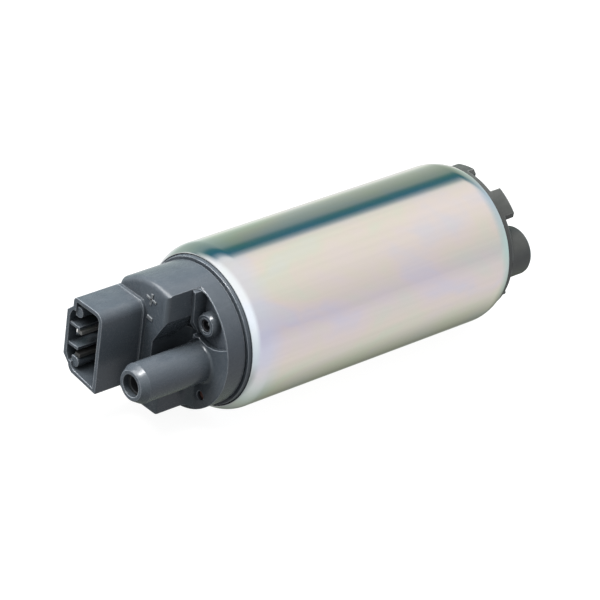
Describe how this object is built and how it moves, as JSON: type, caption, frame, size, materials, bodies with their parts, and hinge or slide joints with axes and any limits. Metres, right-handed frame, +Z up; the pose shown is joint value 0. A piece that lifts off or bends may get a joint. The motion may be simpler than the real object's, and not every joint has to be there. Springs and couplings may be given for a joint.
{
  "type": "electric fuel pump",
  "caption": "In-tank electric fuel pump: rolled steel can with brush motor and impeller, outlet cover with keyed connector, nozzle and relief valve, inlet cover with port.",
  "frame": {"origin": "on the pump's axis, in the plane of the can's outlet lip", "axes": "+X along the pump's axis towards the outlet nozzle and connector, +Z up as the pump lies in the picture"},
  "size_m": [0.1127, 0.038, 0.038],
  "materials": {
    "plated_steel": "iridescent zinc plate",
    "cover_plastic": "satin blue-grey moulding",
    "inlet_plastic": "satin dark grey moulding",
    "seal_rubber": "matte",
    "terminal_brass": "tinned, dull",
    "ferrite_coil": "enamelled wire on a dark rod",
    "insert_plastic": "satin",
    "valve_plastic": "satin",
    "spring_steel": "bright drawn wire and strip",
    "bright_steel": "ground",
    "holder_plastic": "natural moulding",
    "sintered_bronze": "matte, porous",
    "carbon": "pressed carbon",
    "ferrite": "ground ceramic",
    "core_steel": "stacked sheets",
    "copper_wire": "enamelled wire",
    "copper": "turned",
    "brown_resin": "moulded resin",
    "washer_plastic": "satin",
    "cast_aluminium": "machined casting"
  },
  "bodies": {
    "casing": {"housing_can": "plated_steel", "outlet_cover": "cover_plastic", "cover_seal": "seal_rubber", "positive_terminal": "terminal_brass", "negative_terminal": "terminal_brass", "positive_choke": "ferrite_coil", "negative_choke": "ferrite_coil", "check_valve_retainer": "insert_plastic", "check_valve_spring": "spring_steel", "relief_valve_retainer": "terminal_brass", "relief_valve_spring": "spring_steel", "bearing_holder": "holder_plastic", "outlet_bearing": "sintered_bronze", "inlet_bearing": "sintered_bronze", "brush_spring_a": "spring_steel", "brush_spring_b": "spring_steel", "magnet_upper": "ferrite", "magnet_lower": "ferrite", "magnet_clips": "spring_steel", "pump_body": "cast_aluminium", "pump_cover": "inlet_plastic", "thrust_pad": "bright_steel"},
    "rotor": {"rotor_shaft": "bright_steel", "armature_core": "core_steel", "coil_bobbins": "holder_plastic", "armature_windings": "copper_wire", "commutator_base": "brown_resin", "commutator_segments": "copper", "thrust_washers": "washer_plastic", "impeller": "brown_resin"},
    "check_valve": {"check_valve_poppet": "valve_plastic"},
    "relief_valve": {"relief_valve_ball": "bright_steel"},
    "brush_a": {"brush_a": "carbon"},
    "brush_b": {"brush_b": "carbon"}
  },
  "joints": [
    {"name": "rotor_spin", "type": "hinge", "parent": "casing", "child": "rotor", "pos_m": [-0.04, 0, 0], "axis": [1, 0, 0], "continuous": true},
    {"name": "check_valve_slide", "type": "slide", "parent": "casing", "child": "check_valve", "axis": [1, 0, 0], "range_m": [0, 0.002], "stiffness_N_per_m": 40, "springref_m": -0.002, "deforming": ["check_valve_spring"]},
    {"name": "relief_valve_slide", "type": "slide", "parent": "casing", "child": "relief_valve", "axis": [1, 0, 0], "range_m": [0, 0.0006], "stiffness_N_per_m": 200, "springref_m": -0.002, "deforming": ["relief_valve_spring"]},
    {"name": "brush_a_slide", "type": "slide", "parent": "casing", "child": "brush_a", "axis": [1, 0, 0], "range_m": [0, 0.003], "stiffness_N_per_m": 60, "springref_m": -0.008, "deforming": ["brush_spring_a"]},
    {"name": "brush_b_slide", "type": "slide", "parent": "casing", "child": "brush_b", "axis": [1, 0, 0], "range_m": [0, 0.003], "stiffness_N_per_m": 60, "springref_m": -0.008, "deforming": ["brush_spring_b"]}
  ]
}
